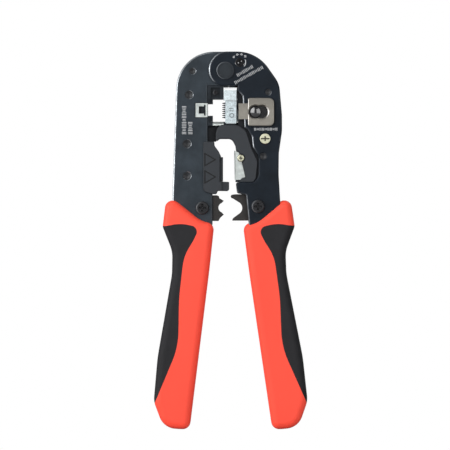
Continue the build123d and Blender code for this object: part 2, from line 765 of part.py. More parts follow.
def blade_holder():
    """The black arch in the moving plate's cut-out, with a pocket for the blade."""
    with BuildSketch() as pocket:
        with BuildLine():
            Polyline(
                (1.0, 141.6),
                (4.9, 139.6),
                (6.4, 133.8),
                (8.0, 126.7),
                (6.0, 126.2),
                (5.4, 125.3),
                (1.0, 125.3),
                close=True,
            )
        make_face()
        add(discs([BLADE_SCREW], 2.15))
    with BuildPart() as holder:
        with BuildSketch(depth(MOULDING_FACE)):
            add(HOLDER)
        extrude(amount=2 * MOULDING_FACE)
        for end in (0, -1):
            fillet(holder.faces().sort_by(Axis.Y)[end].outer_wire().edges(), 0.45)
        with BuildSketch(depth(CORE)):
            add(box_sketch(9.0, 21.0, 128.0, 140.6))
            add(rivet_holes(MOVING_RIVETS), mode=Mode.SUBTRACT)
        extrude(amount=2 * CORE)
        for back, front in ((-CORE, -MOVING_BACK), (MOVING_BACK, CORE)):
            with BuildSketch(depth(back)):
                add(LINER)
            extrude(amount=back - front, mode=Mode.SUBTRACT)
        # Beside the moving plates, the holder's foot ends above their cut-out's lower edge.
        for back, front in ((-MOVING_BACK, -MOULDING_FACE), (MOULDING_FACE, MOVING_BACK)):
            with BuildSketch(depth(back)):
                add(box_sketch(4.9, 12.6, 123.0, 124.6))
            extrude(amount=back - front, mode=Mode.SUBTRACT)
        with BuildSketch(depth(FIXED_FACE + 0.15)):
            add(box_sketch(-10, 10, 152.2, 154))
        extrude(amount=2 * FIXED_FACE + 0.3, mode=Mode.SUBTRACT)
        with BuildSketch(depth(FIXED_FACE + 0.15)):
            add(box_sketch(0, 4.6, 124, 126))
        extrude(amount=2 * FIXED_FACE + 0.3, mode=Mode.SUBTRACT)
        with BuildSketch(depth(CORE + 0.3)):
            add(box_sketch(-10, ARCH_CORE_LEFT, 143, 154))
        extrude(amount=2 * CORE + 0.6, mode=Mode.SUBTRACT)
        with BuildSketch(depth(TONGUE + 0.5)):
            add(box_sketch(-10, 3.6, NEST_BLOCK_LOW - 1.9, 154))
        extrude(amount=2 * TONGUE + 1.0, mode=Mode.SUBTRACT)
        with BuildSketch(depth(-BLADE_BACK)):
            add(pocket.sketch)
        extrude(amount=MOULDING_FACE - BLADE_BACK, mode=Mode.SUBTRACT)
        with BuildSketch(depth(-BLADE_BACK + 3.0)):
            add(discs([BLADE_SCREW], 0.95))
        extrude(amount=3.0, mode=Mode.SUBTRACT)
    keep("blade_holder", holder.part)

    with BuildPart() as blade:
        with BuildSketch(depth(-BLADE_BACK)):
            with BuildLine():
                Polyline(
                    (2.3, 140.4),
                    (4.5, 139.2),
                    (6.1, 133.8),
                    (7.7, 126.9),
                    (6.0, 126.5),
                    (5.3, 125.6),
                    (2.4, 125.5),
                    (2.1, 139.8),
                    close=True,
                )
            make_face()
            add(discs([BLADE_SCREW], 1.75))
            add(discs([BLADE_SCREW], 0.95), mode=Mode.SUBTRACT)
        extrude(amount=BLADE_FACE - BLADE_BACK)
        cutting_edge = blade.faces().sort_by(Axis.Y)[0].edges().sort_by(SortBy.LENGTH)[-1]
        chamfer(cutting_edge, 0.5)
    keep("strip_blade", blade.part)
    keep("blade_screw", cross_head_screw(BLADE_SCREW, -BLADE_FACE, 1.85, 1.0, 0.9, 3.2))


def adjuster_screw():
    """A brass screw with a slot and a cross in its flat head."""
    with BuildPart() as screw:
        with BuildSketch(depth(-MOVING_FACE)):
            with Locations(ADJUSTER):
                Circle(ADJUSTER_R)
        extrude(amount=0.8)
        fillet(screw.faces().sort_by(Axis.Y)[0].edges(), 0.25)
        with BuildSketch(depth(-MOVING_FACE - 0.8)):
            with Locations(ADJUSTER):
                Rectangle(2 * ADJUSTER_R - 1.0, 0.7)
                Rectangle(0.8, 2.4)
        extrude(amount=-0.65, mode=Mode.SUBTRACT)
        with BuildSketch(depth(MOVING_FACE + 0.5)):
            with Locations(ADJUSTER):
                Circle(ADJUSTER_SHANK_R)
        extrude(amount=2 * MOVING_FACE + 0.5)
    keep("adjuster_screw", screw.part)


def lock_knob():
    """A slotted lock pin through both moving plates, beside the pivot."""
    with BuildPart() as knob:
        with BuildSketch(depth(-MOVING_FACE + 0.9)):
            with Locations(LOCK):
                Circle(LOCK_HEAD_R)
        extrude(amount=1.0)
        chamfer(knob.faces().sort_by(Axis.Y)[0].edges(), 0.2)
        with BuildSketch(depth(-MOVING_FACE - 0.1)):
            with Locations(LOCK):
                Rectangle(0.6, 2 * LOCK_R - 0.9)
        extrude(amount=-0.8, mode=Mode.SUBTRACT)
        with BuildSketch(depth(MOVING_FACE)):
            with Locations(LOCK):
                Circle(LOCK_R)
        extrude(amount=2 * MOVING_FACE - 0.9)
    keep("lock_knob", knob.part)


# ---------------------------------------------------------------- ram


def crimp_ram():
    """A front head and a stem in one piece, and a keeper plate screwed on behind."""
    stem_low, stem_high = NEST_LOW + STEM_GAP, NEST_HIGH - STEM_GAP
    back = FIXED_FACE + STEM_GAP
    with BuildPart() as ram:
        with BuildSketch(depth(-back)):
            add(box_sketch(RAM_LEFT, RAM_RIGHT, RAM_LOW, RAM_HIGH))
            add(box_sketch(RAM_TOP_LEFT, RAM_LEFT + 1.0, RAM_STEP, RAM_HIGH))
        extrude(amount=RAM_FACE - back)
        low_corners = ram.edges().filter_by(Axis.Y).group_by(Axis.Z)[0]
        fillet(low_corners, 0.9)
        chamfer(ram.faces().sort_by(Axis.Y)[0].edges().sort_by(Axis.Z)[-1], 1.4)
        chamfer(ram.faces().sort_by(Axis.Y)[0].edges().filter_by(Axis.Z), 0.35)
        with BuildSketch(depth(-RAM_FACE)):
            add(box_sketch(RAM_LEFT, RAM_RIGHT, RAM_STEP - 0.35, RAM_STEP))
        extrude(amount=-0.3, mode=Mode.SUBTRACT)
        with BuildSketch(depth(-RAM_FACE)):
            with Locations(RAM_MARK):
                Circle(1.25)
                Circle(0.75, mode=Mode.SUBTRACT)
            for rise in (2.3, 3.5):
                with Locations((RAM_MARK[0] - 0.3, RAM_MARK[1] + rise)):
                    SlotOverall(2.2, 0.5)
        extrude(amount=-0.25, mode=Mode.SUBTRACT)
        with BuildSketch(depth(back)):
            add(box_sketch(RAM_LEFT, RAM_RIGHT, stem_low, stem_high))
        extrude(amount=2 * back)
        with BuildSketch(depth(CORE - 0.1)):
            add(box_sketch(RAM_RIGHT, PUSH_FACE, stem_low, stem_high))
        extrude(amount=2 * CORE - 0.2)
        with BuildSketch(depth(back)):
            add(discs(KEEPER_SCREWS, 0.9))
        extrude(amount=5.0, mode=Mode.SUBTRACT)
    keep("crimp_ram", ram.part)

    with BuildPart() as keeper:
        with BuildSketch(depth(RAM_FACE)):
            add(box_sketch(RAM_LEFT, RAM_RIGHT, RAM_LOW, RAM_HIGH))
            add(discs(KEEPER_SCREWS, 0.9), mode=Mode.SUBTRACT)
        extrude(amount=RAM_FACE - back)
        chamfer(keeper.faces().sort_by(Axis.Y)[-1].outer_wire().edges(), 0.4)
    keep("ram_keeper", keeper.part)

    with BuildPart() as screws:
        for place in KEEPER_SCREWS:
            screw = cross_head_screw(place, -RAM_FACE, 1.5, 0.8, 0.85, 6.0)
            mirror(screw, about=Plane.XZ)
    keep("ram_keeper_screws", screws.part)

    with BuildPart() as punches:
        for number in range(PUNCH_COUNT):
            z = PUNCH_MID + (number - (PUNCH_COUNT - 1) / 2) * PUNCH_PITCH
            with BuildSketch(depth(2.6)):
                with BuildLine():
                    Polyline(
                        (RAM_LEFT, z + 0.32),
                        (RAM_LEFT - 0.3, z + 0.32),
                        (RAM_LEFT - PUNCH_REACH, z + 0.1),
                        (RAM_LEFT - PUNCH_REACH, z - 0.1),
                        (RAM_LEFT - 0.3, z - 0.32),
                        (RAM_LEFT, z - 0.32),
                        close=True,
                    )
                make_face()
            extrude(amount=5.2)
    keep("contact_punches", punches.part)


# ---------------------------------------------------------------- clip pusher and its button


def clip_pusher():
    window = discs([BUTTON, (BUTTON[0] + PUSHER_TRAVEL, BUTTON[1])], WINDOW_R)
    with BuildPart() as pusher:
        with BuildSketch(depth(-PUSHER_BACK)):
            add(box_sketch(PUSHER_LEFT, PUSHER_RIGHT, PUSHER_LOW, PUSHER_HIGH))
        extrude(amount=PUSHER_FACE - PUSHER_BACK)
        fillet(pusher.edges().filter_by(Axis.Y).group_by(Axis.X)[-1], 2.6)
        fillet(pusher.edges().filter_by(Axis.Y).group_by(Axis.X)[0], 1.1)
        fillet(pusher.faces().sort_by(Axis.Y)[0].edges(), 0.5)
        with BuildSketch(depth(-PUSHER_BACK)):
            add(box_sketch(4.3, PUSHER_LEFT + 1.0, 156.0, 163.9))
        extrude(amount=1.1)
        with BuildSketch(depth(-PUSHER_BACK)):
            add(window)
        extrude(amount=PUSHER_FACE - PUSHER_BACK, mode=Mode.SUBTRACT)
        rim = pusher.faces().sort_by(Axis.Y)[0].inner_wires()[0].edges()
        chamfer(rim, 0.6)
        with BuildSketch(depth(-MOVING_BACK + 0.1)):
            for z in STUD_Z:
                with Locations((STUD_X, z)):
                    Circle(STUD_R)
        extrude(amount=PUSHER_BACK - MOVING_BACK + 0.1)
        with BuildSketch(depth(-MOVING_BACK + 1.0)):
            for z in STUD_Z:
                with Locations((STUD_X, z)):
                    Circle(STUD_HEAD_R)
        extrude(amount=0.9)
    keep("clip_pusher", pusher.part)

    with BuildPart() as button:
        with BuildSketch(depth(-BUTTON_BACK)):
            with Locations(BUTTON):
                Circle(BUTTON_R)
        extrude(amount=BUTTON_FACE - BUTTON_BACK)
        fillet(button.faces().sort_by(Axis.Y)[0].edges(), 1.3)
        with BuildSketch(depth(-BUTTON_FACE)):
            with Locations(BUTTON):
                Circle(0.8)
        extrude(amount=-0.3, mode=Mode.SUBTRACT)
    keep("detent_button", button.part)

    with BuildPart() as spring:
        with BuildLine() as path:
            coil(BUTTON, 1.3, -BUTTON_BACK + 0.22, 1.04, 4)
        with BuildSketch(Plane(origin=path.line @ 0, z_dir=path.line % 0)):
            Circle(0.2)
        sweep(path=path.line)
    keep("button_spring", spring.part)


# ---------------------------------------------------------------- build and write

fixed_plates()
fixed_spacer()
keep("fixed_rivets", rivets(FIXED_RIVETS, FIXED_FACE))
connector_nest()
nest_screws()
strip_guard()
fixed_jaw()
pivot()
return_spring()
grips()
moving_plates()
moving_liners()
keep("moving_rivets", rivets(MOVING_RIVETS, MOVING_FACE))
drive_block()
moving_jaw()
blade_holder()
adjuster_screw()
lock_knob()
crimp_ram()
clip_pusher()

os.makedirs("parts", exist_ok=True)
for name, part in pieces.items():
    export_step(part, f"parts/{name}.step")
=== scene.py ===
"""Looks for the crimping tool: materials, printed marks, camera, floor and light round the CAD frame."""

import json
import math

import bmesh
import bpy
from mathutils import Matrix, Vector


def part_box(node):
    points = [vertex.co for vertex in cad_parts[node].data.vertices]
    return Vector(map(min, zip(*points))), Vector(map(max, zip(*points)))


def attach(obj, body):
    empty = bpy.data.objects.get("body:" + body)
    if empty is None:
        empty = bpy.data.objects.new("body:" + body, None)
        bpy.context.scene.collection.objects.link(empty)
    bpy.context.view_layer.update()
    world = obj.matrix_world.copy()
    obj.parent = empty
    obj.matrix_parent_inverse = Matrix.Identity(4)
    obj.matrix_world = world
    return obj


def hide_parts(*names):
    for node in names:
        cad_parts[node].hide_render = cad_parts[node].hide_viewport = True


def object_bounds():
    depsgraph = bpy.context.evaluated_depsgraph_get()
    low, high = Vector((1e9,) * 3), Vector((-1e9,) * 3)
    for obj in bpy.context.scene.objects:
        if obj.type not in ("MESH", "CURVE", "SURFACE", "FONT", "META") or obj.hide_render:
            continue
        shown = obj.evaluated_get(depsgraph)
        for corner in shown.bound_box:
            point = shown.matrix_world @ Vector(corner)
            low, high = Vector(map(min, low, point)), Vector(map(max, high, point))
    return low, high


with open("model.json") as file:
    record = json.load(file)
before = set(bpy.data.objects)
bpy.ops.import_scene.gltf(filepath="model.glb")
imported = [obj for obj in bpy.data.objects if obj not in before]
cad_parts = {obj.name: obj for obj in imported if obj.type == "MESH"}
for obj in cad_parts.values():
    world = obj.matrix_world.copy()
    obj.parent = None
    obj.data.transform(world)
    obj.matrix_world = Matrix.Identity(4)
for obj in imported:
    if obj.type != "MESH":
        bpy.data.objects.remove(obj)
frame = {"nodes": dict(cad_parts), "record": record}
cad_low, cad_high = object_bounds()
NODES = frame["nodes"]
MM = 0.001

# ---------------------------------------------------------------- node helpers

# How much of the rims' paler colour a rim that faces right keeps, against 1 for one that faces left. The
# difference is painted highlight for light that falls from the left.
RIGHT_RIM_HIGHLIGHT_SHARE = 0.06


def opaque(colour):
    """A socket as it is, or a colour of three numbers with an alpha of 1."""
    return colour if isinstance(colour, bpy.types.NodeSocket) else (*colour, 1.0)


class Shader:
    """A node tree with short calls for the few nodes the materials share."""

    def __init__(self, material):
        self.tree = material.node_tree
        self.tree.nodes.clear()
        self.links = self.tree.links
        self.out = self.add("ShaderNodeOutputMaterial")
        self.bsdf = self.add("ShaderNodeBsdfPrincipled")
        self.links.new(self.bsdf.outputs[0], self.out.inputs["Surface"])
        coordinates = self.add("ShaderNodeTexCoord")
        self.place = coordinates.outputs["Object"]
        self.normal = self.split(coordinates.outputs["Normal"])

    def add(self, kind, **settings):
        node = self.tree.nodes.new(kind)
        for key, value in settings.items():
            setattr(node, key, value)
        return node

    def plug(self, socket, value):
        """Sets a socket to a number or a colour, or links it to another socket."""
        if isinstance(value, bpy.types.NodeSocket):
            self.links.new(value, socket)
        else:
            socket.default_value = value

    def stretched(self, factors):
        """Object coordinates scaled along X, Y and Z."""
        node = self.add("ShaderNodeMapping")
        self.plug(node.inputs["Vector"], self.place)
        node.inputs["Scale"].default_value = factors
        return node.outputs[0]

    def noise(self, size, detail=3.0, roughness=0.55, coords=None):
        """Noise whose blotches are about size metres across."""
        node = self.add("ShaderNodeTexNoise")
        self.plug(node.inputs["Vector"], coords or self.place)
        node.inputs["Scale"].default_value = 1.0 / size
        node.inputs["Detail"].default_value = detail
        node.inputs["Roughness"].default_value = roughness
        return node.outputs["Fac"]

    def cells(self, size, coords=None):
        node = self.add("ShaderNodeTexVoronoi")
        self.plug(node.inputs["Vector"], coords or self.place)
        node.inputs["Scale"].default_value = 1.0 / size
        return node.outputs["Distance"]

    def along_height(self, stops):
        """A value that follows the height Z, from (millimetres, value) stops."""
        low, high = stops[0][0], stops[-1][0]
        span = self.spread(self.split(self.place)["Z"], low * MM, high * MM, 0.0, 1.0)
        node = self.add("ShaderNodeValToRGB")
        self.plug(node.inputs[0], span)
        ramp = node.color_ramp
        while len(ramp.elements) < len(stops):
            ramp.elements.new(0.5)
        for element, (height, value) in zip(ramp.elements, stops):
            element.position = (height - low) / (high - low)
            element.color = (value, value, value, 1.0)
        return node.outputs["Color"]

    def spread(self, value, low, high, to_low, to_high):
        """Maps low..high to to_low..to_high, held at the ends."""
        node = self.add("ShaderNodeMapRange")
        self.plug(node.inputs["Value"], value)
        limits = {"From Min": low, "From Max": high, "To Min": to_low, "To Max": to_high}
        for name, number in limits.items():
            self.plug(node.inputs[name], number)
        return node.outputs[0]

    def maths(self, operation, first, second=0.0):
        node = self.add("ShaderNodeMath", operation=operation)
        self.plug(node.inputs[0], first)
        self.plug(node.inputs[1], second)
        return node.outputs[0]

    def mix(self, factor, first, second):
        """Blends two colours."""
        node = self.add("ShaderNodeMix", data_type="RGBA")
        self.plug(node.inputs["Factor"], factor)
        self.plug(node.inputs["A"], opaque(first))
        self.plug(node.inputs["B"], opaque(second))
        return node.outputs["Result"]

    def facing_front(self):
        """1 on faces towards the front or the back of the tool, 0 on its edges."""
        return self.maths("ABSOLUTE", self.normal["Y"])

    def rim_wear_and_highlight(self, low=0.5, high=0.98):
        """A mask for the rounded rims between flat faces and edges, broken up by noise.

        The rims that face left get most of it: a painted highlight for light that falls from the left,
        over paler rubbed rims.
        """
        facing = self.facing_front()
        # Painted highlight: rims facing left keep the whole mask, rims facing right only a small share.
        leftward_highlight = self.spread(self.normal["X"], -0.5, 0.0, 1.0, RIGHT_RIM_HIGHLIGHT_SHARE)
        rising = self.spread(facing, low - 0.2, low, 0.0, 1.0)
        falling = self.spread(facing, high, high + 0.015, 1.0, 0.0)
        rim = self.maths("MULTIPLY", rising, falling)
        patches = self.spread(self.noise(2.5 * MM, 4.0, 0.6), 0.35, 0.6, 0.65, 1.0)
        return self.maths("MULTIPLY", self.maths("MULTIPLY", rim, leftward_highlight), patches)

    def split(self, vector):
        """The X, Y and Z of a vector, as sockets."""
        node = self.add("ShaderNodeSeparateXYZ")
        self.plug(node.inputs[0], vector)
        return node.outputs

    def bump(self, height, distance, strength=1.0):
        node = self.add("ShaderNodeBump")
        node.inputs["Distance"].default_value = distance
        node.inputs["Strength"].default_value = strength
        self.plug(node.inputs["Height"], height)
        self.plug(self.bsdf.inputs["Normal"], node.outputs[0])

    def surface(self, colour, roughness, metallic=0.0, specular=0.5):
        self.plug(self.bsdf.inputs["Base Color"], opaque(colour))
        self.plug(self.bsdf.inputs["Roughness"], roughness)
        self.plug(self.bsdf.inputs["Metallic"], metallic)
        self.bsdf.inputs["Specular IOR Level"].default_value = specular


def new_material(name):
    material = bpy.data.materials.new(name + "_look")
    material.use_nodes = True
    return material, Shader(material)


# ---------------------------------------------------------------- materials


def blackened_steel(name, colour, rough=0.42, wear_and_highlight=0.5, shine=0.12, wear_and_highlight_stops=None):
    """Stamped plate under a thin black finish: faint clouds, fine tooth and paler rims, which are partly
    rubbed bare and partly painted highlight.
    """
    material, s = new_material(name)
    clouds = s.noise(9 * MM, 4.0, 0.6)
    fine = s.noise(0.18 * MM, 2.0, 0.5)
    lighter = tuple(c * 1.5 + 0.001 for c in colour)
    base = s.mix(s.spread(clouds, 0.35, 0.7, 0.0, 1.0), colour, lighter)
    worn_and_lit = s.maths("MULTIPLY", s.rim_wear_and_highlight(), wear_and_highlight)
    if wear_and_highlight_stops:
        worn_and_lit = s.maths("MULTIPLY", worn_and_lit, s.along_height(wear_and_highlight_stops))
    # Rims mix towards pale grey: partly rubbed bare metal, partly painted highlight.
    base = s.mix(worn_and_lit, base, (0.46, 0.49, 0.52))
    specks = s.spread(s.noise(0.5 * MM, 5.0, 0.7), 0.66, 0.74, 0.0, 0.12)
    base = s.mix(specks, base, (0.30, 0.32, 0.34))
    smudges = s.spread(s.noise(3 * MM, 5.0, 0.7), 0.3, 0.7, rough - 0.06, rough + 0.08)
    s.surface(base, s.maths("SUBTRACT", smudges, s.maths("MULTIPLY", worn_and_lit, 0.2)), worn_and_lit, shine)
    s.bump(s.maths("ADD", fine, s.maths("MULTIPLY", clouds, 0.6)), 0.012 * MM, 0.5)
    return material


def brushed_metal(name, colour, rough=0.34, grain=(1.0, 1.0, 0.06), darkening=0.25):
    """Bare metal with a fine grain along one axis and faint stains."""
    material, s = new_material(name)
    grain_lines = s.noise(0.09 * MM, 3.0, 0.6, s.stretched(grain))
    stains = s.noise(2.2 * MM, 5.0, 0.6)
    darker = tuple(c * (1.0 - darkening) for c in colour)
    base = s.mix(s.spread(stains, 0.38, 0.66, 0.0, 1.0), colour, darker)
    s.surface(base, s.spread(grain_lines, 0.3, 0.7, rough - 0.07, rough + 0.1), 1.0)
    s.bump(grain_lines, 0.006 * MM, 0.45)
    return material


def satin_nickel(name, colour):
    """Nickel plating, darker towards the top. Its bevels that face left get a painted highlight for light
    that falls from the left.
    """
    material, s = new_material(name)
    low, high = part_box("clip_pusher")
    grain = s.noise(0.09 * MM, 3.0, 0.6, s.stretched((1.0, 1.0, 0.08)))
    stains = s.noise(2.2 * MM, 5.0, 0.6)
    base = s.mix(s.spread(stains, 0.38, 0.66, 0.0, 0.5), colour, tuple(c * 0.78 for c in colour))
    rising = s.spread(s.split(s.place)["Z"], (low.z + high.z) / 2, high.z, 0.0, 1.0)
    base = s.mix(rising, base, tuple(c * 0.72 for c in colour))
    # Painted highlight: bevels facing left are mixed towards near white.
    leftward = s.spread(s.normal["X"], -0.75, -0.35, 1.0, 0.0)
    bevel = s.maths("MULTIPLY", leftward, s.spread(s.facing_front(), 0.2, 0.45, 0.0, 1.0))
    base = s.mix(bevel, base, (0.93, 0.90, 0.86))
    s.surface(base, s.spread(grain, 0.3, 0.7, 0.31, 0.48), s.spread(bevel, 0.0, 1.0, 1.0, 0.3))
    s.bump(grain, 0.006 * MM, 0.45)
    return material


def brass_with_shaded_recesses(name, colour, faces):
    """Brass screw heads, pale on their faces and painted nearly black down in their recesses as painted
    shade.

    faces lists depths Y of the screws' faces. Below a face the colour turns dark: painted shade in the
    recess.
    """
    material, s = new_material(name)
    haze = s.noise(0.5 * MM, 4.0, 0.65)
    turned = s.noise(0.12 * MM, 2.0, 0.5)
    base = s.mix(s.spread(haze, 0.35, 0.7, 0.0, 0.5), colour, tuple(c * 0.72 for c in colour))
    place = s.split(s.place)
    on_face = None
    for low, high in faces:
        above = s.spread(place["Y"], low - 0.02 * MM, low, 0.0, 1.0)
        below = s.spread(place["Y"], high - 0.1 * MM, high, 1.0, 0.0)
        band = s.maths("MULTIPLY", above, below)
        on_face = band if on_face is None else s.maths("MAXIMUM", on_face, band)
    # Painted shade: nearly black below each face, down in the recess.
    base = s.mix(on_face, (0.035, 0.028, 0.016), base)
    s.surface(base, s.spread(haze, 0.3, 0.7, 0.3, 0.42), s.spread(on_face, 0.0, 1.0, 0.1, 1.0))
    s.bump(turned, 0.006 * MM, 0.4)
    return material


def mottled_steel(name, colour):
    """The ram's sandy face: pale speckles on grey, darker in its engraving, and a painted highlight on
    faces that turn upwards, such as the top bevel.
    """
    material, s = new_material(name)
    speckle = s.noise(0.42 * MM, 4.0, 0.7)
    blotch = s.noise(1.5 * MM, 3.0, 0.6)
    pits = s.cells(0.5 * MM)
    mottling = s.maths("ADD", s.maths("MULTIPLY", speckle, 0.65), s.maths("MULTIPLY", blotch, 0.35))
    dark = tuple(c * 0.5 for c in colour)
    base = s.mix(s.spread(mottling, 0.42, 0.6, 0.0, 1.0), dark, colour)
    low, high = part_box("crimp_ram")
    place = s.split(s.place)
    below_face = s.spread(place["Y"], low.y + 0.05 * MM, low.y + 0.2 * MM, 0.0, 0.75)
    on_front = s.spread(place["Y"], low.y + 0.5 * MM, low.y + 0.6 * MM, 1.0, 0.0)
    under_bevel = s.spread(place["Z"], high.z - 1.9 * MM, high.z - 1.6 * MM, 1.0, 0.0)
    # Darker in the engraving, below the ram's front face.
    darkening = s.maths("MULTIPLY", s.maths("MULTIPLY", below_face, on_front), under_bevel)
    base = s.mix(darkening, base, (0.10, 0.11, 0.12))
    # Painted highlight: faces that turn upwards are mixed towards near white.
    bevel = s.spread(s.normal["Z"], 0.3, 0.6, 0.0, 1.0)
    base = s.mix(bevel, base, (0.95, 0.97, 0.98))
    lift = s.spread(place["Z"], high.z - 7.0 * MM, high.z - 6.0 * MM, 0.0, 0.12)
    base = s.mix(lift, base, (0.93, 0.97, 0.98))
    s.surface(base, s.spread(speckle, 0.3, 0.7, 0.5, 0.34), s.spread(bevel, 0.0, 1.0, 0.55, 0.0))
    s.bump(s.maths("ADD", speckle, s.maths("MULTIPLY", pits, 0.5)), 0.03 * MM, 0.7)
    return material


def sintered_steel(name, colour):
    """Dark pressed-powder steel with a sandy tooth."""
    material, s = new_material(name)
    grains = s.cells(0.16 * MM)
    clouds = s.noise(2.5 * MM, 4.0, 0.65)
    lighter = tuple(c * 1.7 for c in colour)
    base = s.mix(s.spread(clouds, 0.35, 0.68, 0.0, 1.0), colour, lighter)
    s.surface(base, s.spread(clouds, 0.3, 0.7, 0.5, 0.68), 0.35, 0.4)
    s.bump(s.maths("ADD", grains, s.noise(0.3 * MM)), 0.03 * MM, 0.6)
    return material


def moulded_plastic(name, colour, rough=0.48, tooth=0.22, variation=0.12, shine=0.3, shaded_groove_face=None):
    """Injection-moulded plastic: spark-eroded tooth and faint flow clouds.

    The last argument is the depth Y of a face whose shallow grooves are painted near black: painted shade
    down in the grooves.
    """
    material, s = new_material(name)
    tooth_cells = s.noise(tooth * MM, 2.0, 0.6)
    flow = s.noise(14 * MM, 3.0, 0.5, s.stretched((1.0, 1.0, 0.35)))
    darker = tuple(c * (1.0 - variation) for c in colour)
    base = s.mix(s.spread(flow, 0.35, 0.68, 0.0, 1.0), darker, colour)
    if shaded_groove_face is not None:
        depth = s.split(s.place)["Y"]
        below = s.spread(depth, shaded_groove_face + 0.05 * MM, shaded_groove_face + 0.15 * MM, 0.0, 1.0)
        shallow = s.spread(depth, shaded_groove_face + 0.8 * MM, shaded_groove_face + 0.9 * MM, 1.0, 0.0)
        # Painted shade in the shallow grooves.
        base = s.mix(s.maths("MULTIPLY", below, shallow), base, (0.008, 0.009, 0.010))
    s.surface(base, s.spread(tooth_cells, 0.3, 0.7, rough - 0.05, rough + 0.07), 0.0, shine)
    s.bump(tooth_cells, 0.018 * MM, 0.5)
    return material


def soft_rubber(name, colour):
    """Matt overmoulded rubber: a close stipple, dull bloom and slight dust on raised spots."""
    material, s = new_material(name)
    stipple = s.cells(0.32 * MM)
    bloom = s.noise(7 * MM, 5.0, 0.65)
    paler = tuple(c * 1.4 + 0.002 for c in colour)
    base = s.mix(s.spread(bloom, 0.4, 0.7, 0.0, 0.8), colour, paler)
    dust = s.spread(s.noise(0.35 * MM, 5.0, 0.75), 0.68, 0.78, 0.0, 0.1)
    base = s.mix(dust, base, (0.30, 0.30, 0.31))
    s.surface(base, s.spread(bloom, 0.3, 0.7, 0.58, 0.74), 0.0, 0.22)
    s.bump(s.maths("ADD", stipple, s.noise(0.14 * MM)), 0.03 * MM, 0.5)
    return material


def gloss_black(name):
    """Polished black plastic, slightly hazed by handling."""
    material, s = new_material(name)
    haze = s.noise(0.8 * MM, 4.0, 0.6)
    base = s.mix(haze, (0.003, 0.003, 0.004), (0.006, 0.006, 0.008))
    s.surface(base, s.spread(haze, 0.3, 0.7, 0.1, 0.18), 0.0, 0.9)
    s.bsdf.inputs["Coat Weight"].default_value = 0.8
    return material


def white_ink_and_glints(name):
    """Pad-printed ink, slightly uneven. The same white also makes the painted glints and the painted
    highlight arc at the lock.
    """
    material, s = new_material(name)
    patchy = s.noise(0.25 * MM, 3.0, 0.6)
    base = s.mix(s.spread(patchy, 0.35, 0.65, 0.0, 1.0), (0.38, 0.39, 0.40), (0.62, 0.63, 0.64))
    s.surface(base, 0.6, 0.0, 0.3)
    s.bump(patchy, 0.01 * MM, 0.4)
    return material


def face_band(node, thickness):
    """The depths Y from a screw's face down to thickness behind it, at the front."""
    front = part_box(node)[0].y
    return front, front + thickness


PLASTIC = (0.0265, 0.0305, 0.0365)
LOOKS = {
    "blued_plate": blackened_steel("blued_plate", (0.0216, 0.0285, 0.0356), 0.42, 1.0),
    "dark_core": blackened_steel("dark_core", (0.008, 0.009, 0.011), 0.55, 0.1),
    "blued_pin": blackened_steel("blued_pin", (0.0165, 0.0205, 0.0250), 0.36, 0.4, 0.15),
    "black_screw": blackened_steel("black_screw", (0.012, 0.012, 0.014), 0.34, 0.2, 0.2),
    "bright_steel": brushed_metal("bright_steel", (0.54, 0.58, 0.565)),
    "ram_steel": mottled_steel("ram_steel", (0.63, 0.725, 0.76)),
    "jaw_steel": sintered_steel("jaw_steel", (0.0205, 0.0190, 0.0185)),
    "brass_screw": brass_with_shaded_recesses(
        "brass_screw",
        (0.58, 0.575, 0.43),
        [face_band("adjuster_screw", 0.5 * MM), face_band("blade_screw", 0.34 * MM)],
    ),
    "spring_steel": brushed_metal("spring_steel", (0.45, 0.46, 0.48), 0.28, (1.0, 1.0, 1.0), 0.3),
    "satin_nickel": satin_nickel("satin_nickel", (0.235, 0.222, 0.196)),
    "guard_plastic": moulded_plastic("guard_plastic", PLASTIC, 0.5, 0.2, 0.12, 0.25),
    "button_black": gloss_black("button_black"),
    "grip_orange": moulded_plastic("grip_orange", (0.98, 0.085, 0.050), 0.5, 0.3, 0.05, 0.2),
    "grip_inlay": soft_rubber("grip_inlay", (0.013, 0.013, 0.015)),
}

# The right plates take a darker copy of the plate finish, painted shade for light that falls from the
# left. The listed heights set how strong their pale rims are, a painted highlight where those rims catch
# the light.
SHADED_RIGHT_PLATE = blackened_steel(
    "shaded_right_plate",
    (0.0045, 0.0080, 0.0130),
    0.42,
    0.9,
    0.12,
    # Heights in millimetres, and how strong the painted rim highlight is at each.
    [
        (103.0, 0.35),
        (119.0, 0.35),
        (121.0, 0.03),
        (138.5, 0.03),
        (141.0, 0.15),
        (142.5, 0.9),
        (147.0, 0.9),
        (148.2, 0.1),
        (151.5, 0.1),
        (152.8, 0.9),
        (166.5, 0.9),
        (170.3, 0.05),
        (174.5, 0.05),
        (176.5, 1.0),
        (187.0, 1.0),
        (189.5, 0.3),
    ],
)
LOCK_BLACK = blackened_steel("lock_black", (0.004, 0.004, 0.005), 0.3, 0.15, 0.15)
RIVET_BLACK = blackened_steel("rivet_black", (0.009, 0.010, 0.012), 0.36, 0.1, 0.25)
NEST_BLACK = blackened_steel("nest_black", (0.0125, 0.0160, 0.0200), 0.45, 0.2)
GUARD = moulded_plastic("guard", PLASTIC, 0.5, 0.2, 0.12, 0.25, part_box("strip_guard")[0].y)
OWN_LOOKS = {
    "moving_plate_front": SHADED_RIGHT_PLATE,
    "moving_plate_rear": SHADED_RIGHT_PLATE,
    "lock_knob": LOCK_BLACK,
    "fixed_rivets": RIVET_BLACK,
    "moving_rivets": RIVET_BLACK,
    "connector_nest": NEST_BLACK,
    "strip_guard": GUARD,
}
INK_FOR_PRINT_AND_GLINTS = white_ink_and_glints("ink")

slot_of = {entry["node"]: entry["material_slot"] for entry in frame["record"]["subparts"]}
for node, piece in NODES.items():
    piece.data.materials.clear()
    look = OWN_LOOKS.get(node, LOOKS[slot_of[node]])
    piece.data.materials.append(look)

